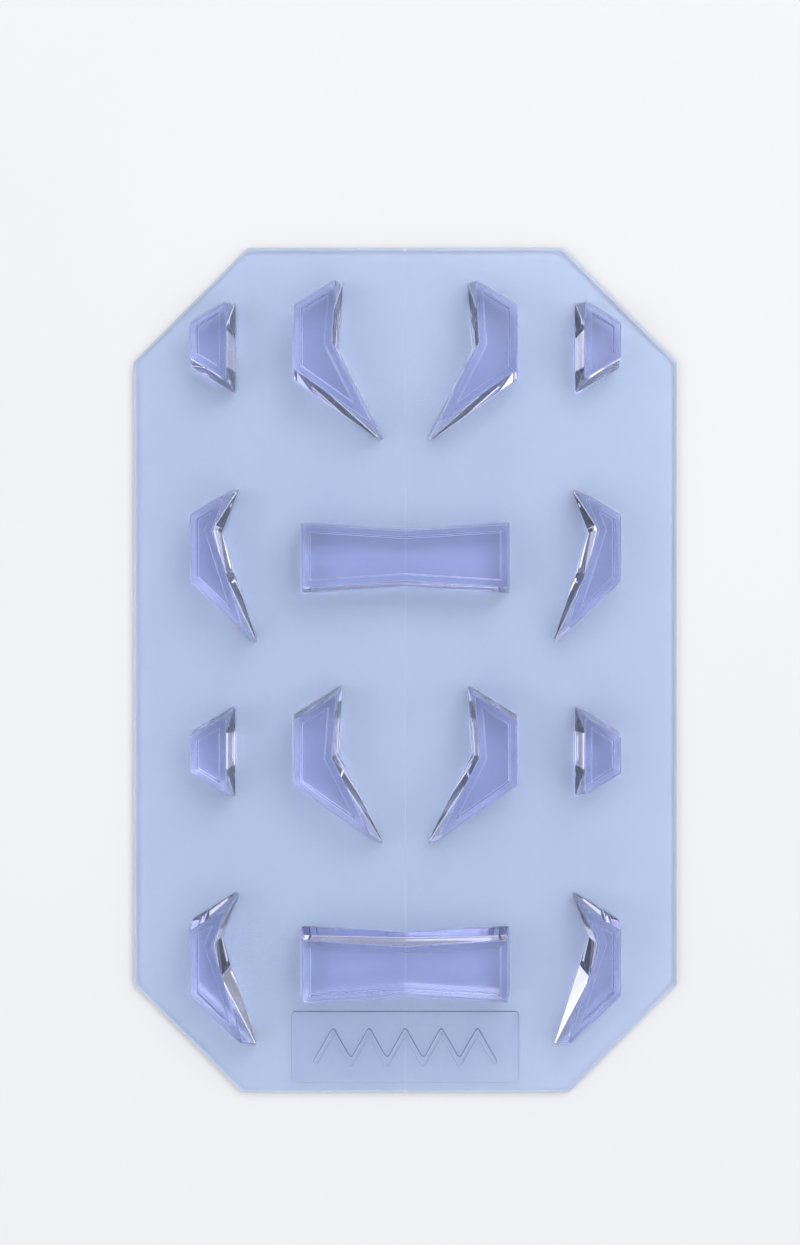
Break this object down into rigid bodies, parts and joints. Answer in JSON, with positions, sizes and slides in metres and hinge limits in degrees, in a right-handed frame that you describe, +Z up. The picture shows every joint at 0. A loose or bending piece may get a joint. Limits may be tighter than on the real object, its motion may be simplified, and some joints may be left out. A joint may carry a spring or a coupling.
{
  "type": "snowboard stomp pad",
  "caption": "Clear self-adhesive snowboard stomp pad: a clipped-corner sheet with raised chevron, bow-tie and edge traction bars and a peel-off liner in two halves.",
  "frame": {"origin": "middle of the underside of the release liner, on the surface the pad lies on", "axes": "+Z up out of the traction bars, +Y to the front edge away from the name tablet, +X to the right"},
  "size_m": [0.1142, 0.1778, 0.0096],
  "materials": {
    "clear_bar": "clear gloss, faint violet tint, drafted walls",
    "clear_sheet": "clear satin, very fine grain, faint blue tint",
    "adhesive": "clear pressure-sensitive film",
    "liner": "clear release film, smooth"
  },
  "bodies": {
    "pad": {"base_sheet": "clear_sheet", "adhesive_film": "adhesive", "name_tablet": "clear_sheet", "tablet_emblem": "clear_sheet", "front_edge_bar_left": "clear_bar", "front_inner_chevron_left": "clear_bar", "front_outer_chevron_left": "clear_bar", "front_edge_bar_right": "clear_bar", "front_inner_chevron_right": "clear_bar", "front_outer_chevron_right": "clear_bar", "front_bow_tie_bar": "clear_bar", "rear_edge_bar_left": "clear_bar", "rear_inner_chevron_left": "clear_bar", "rear_outer_chevron_left": "clear_bar", "rear_edge_bar_right": "clear_bar", "rear_inner_chevron_right": "clear_bar", "rear_outer_chevron_right": "clear_bar", "rear_bow_tie_bar": "clear_bar"},
    "liner_left": {"liner_left": "liner"},
    "liner_right": {"liner_right": "liner"}
  },
  "joints": [
    {"name": "liner_left_pull", "type": "slide", "parent": "pad", "child": "liner_left", "axis": [-1, 0, 0], "range_m": [0, 0.06]},
    {"name": "liner_right_pull", "type": "slide", "parent": "pad", "child": "liner_right", "axis": [1, 0, 0], "range_m": [0, 0.06]}
  ]
}
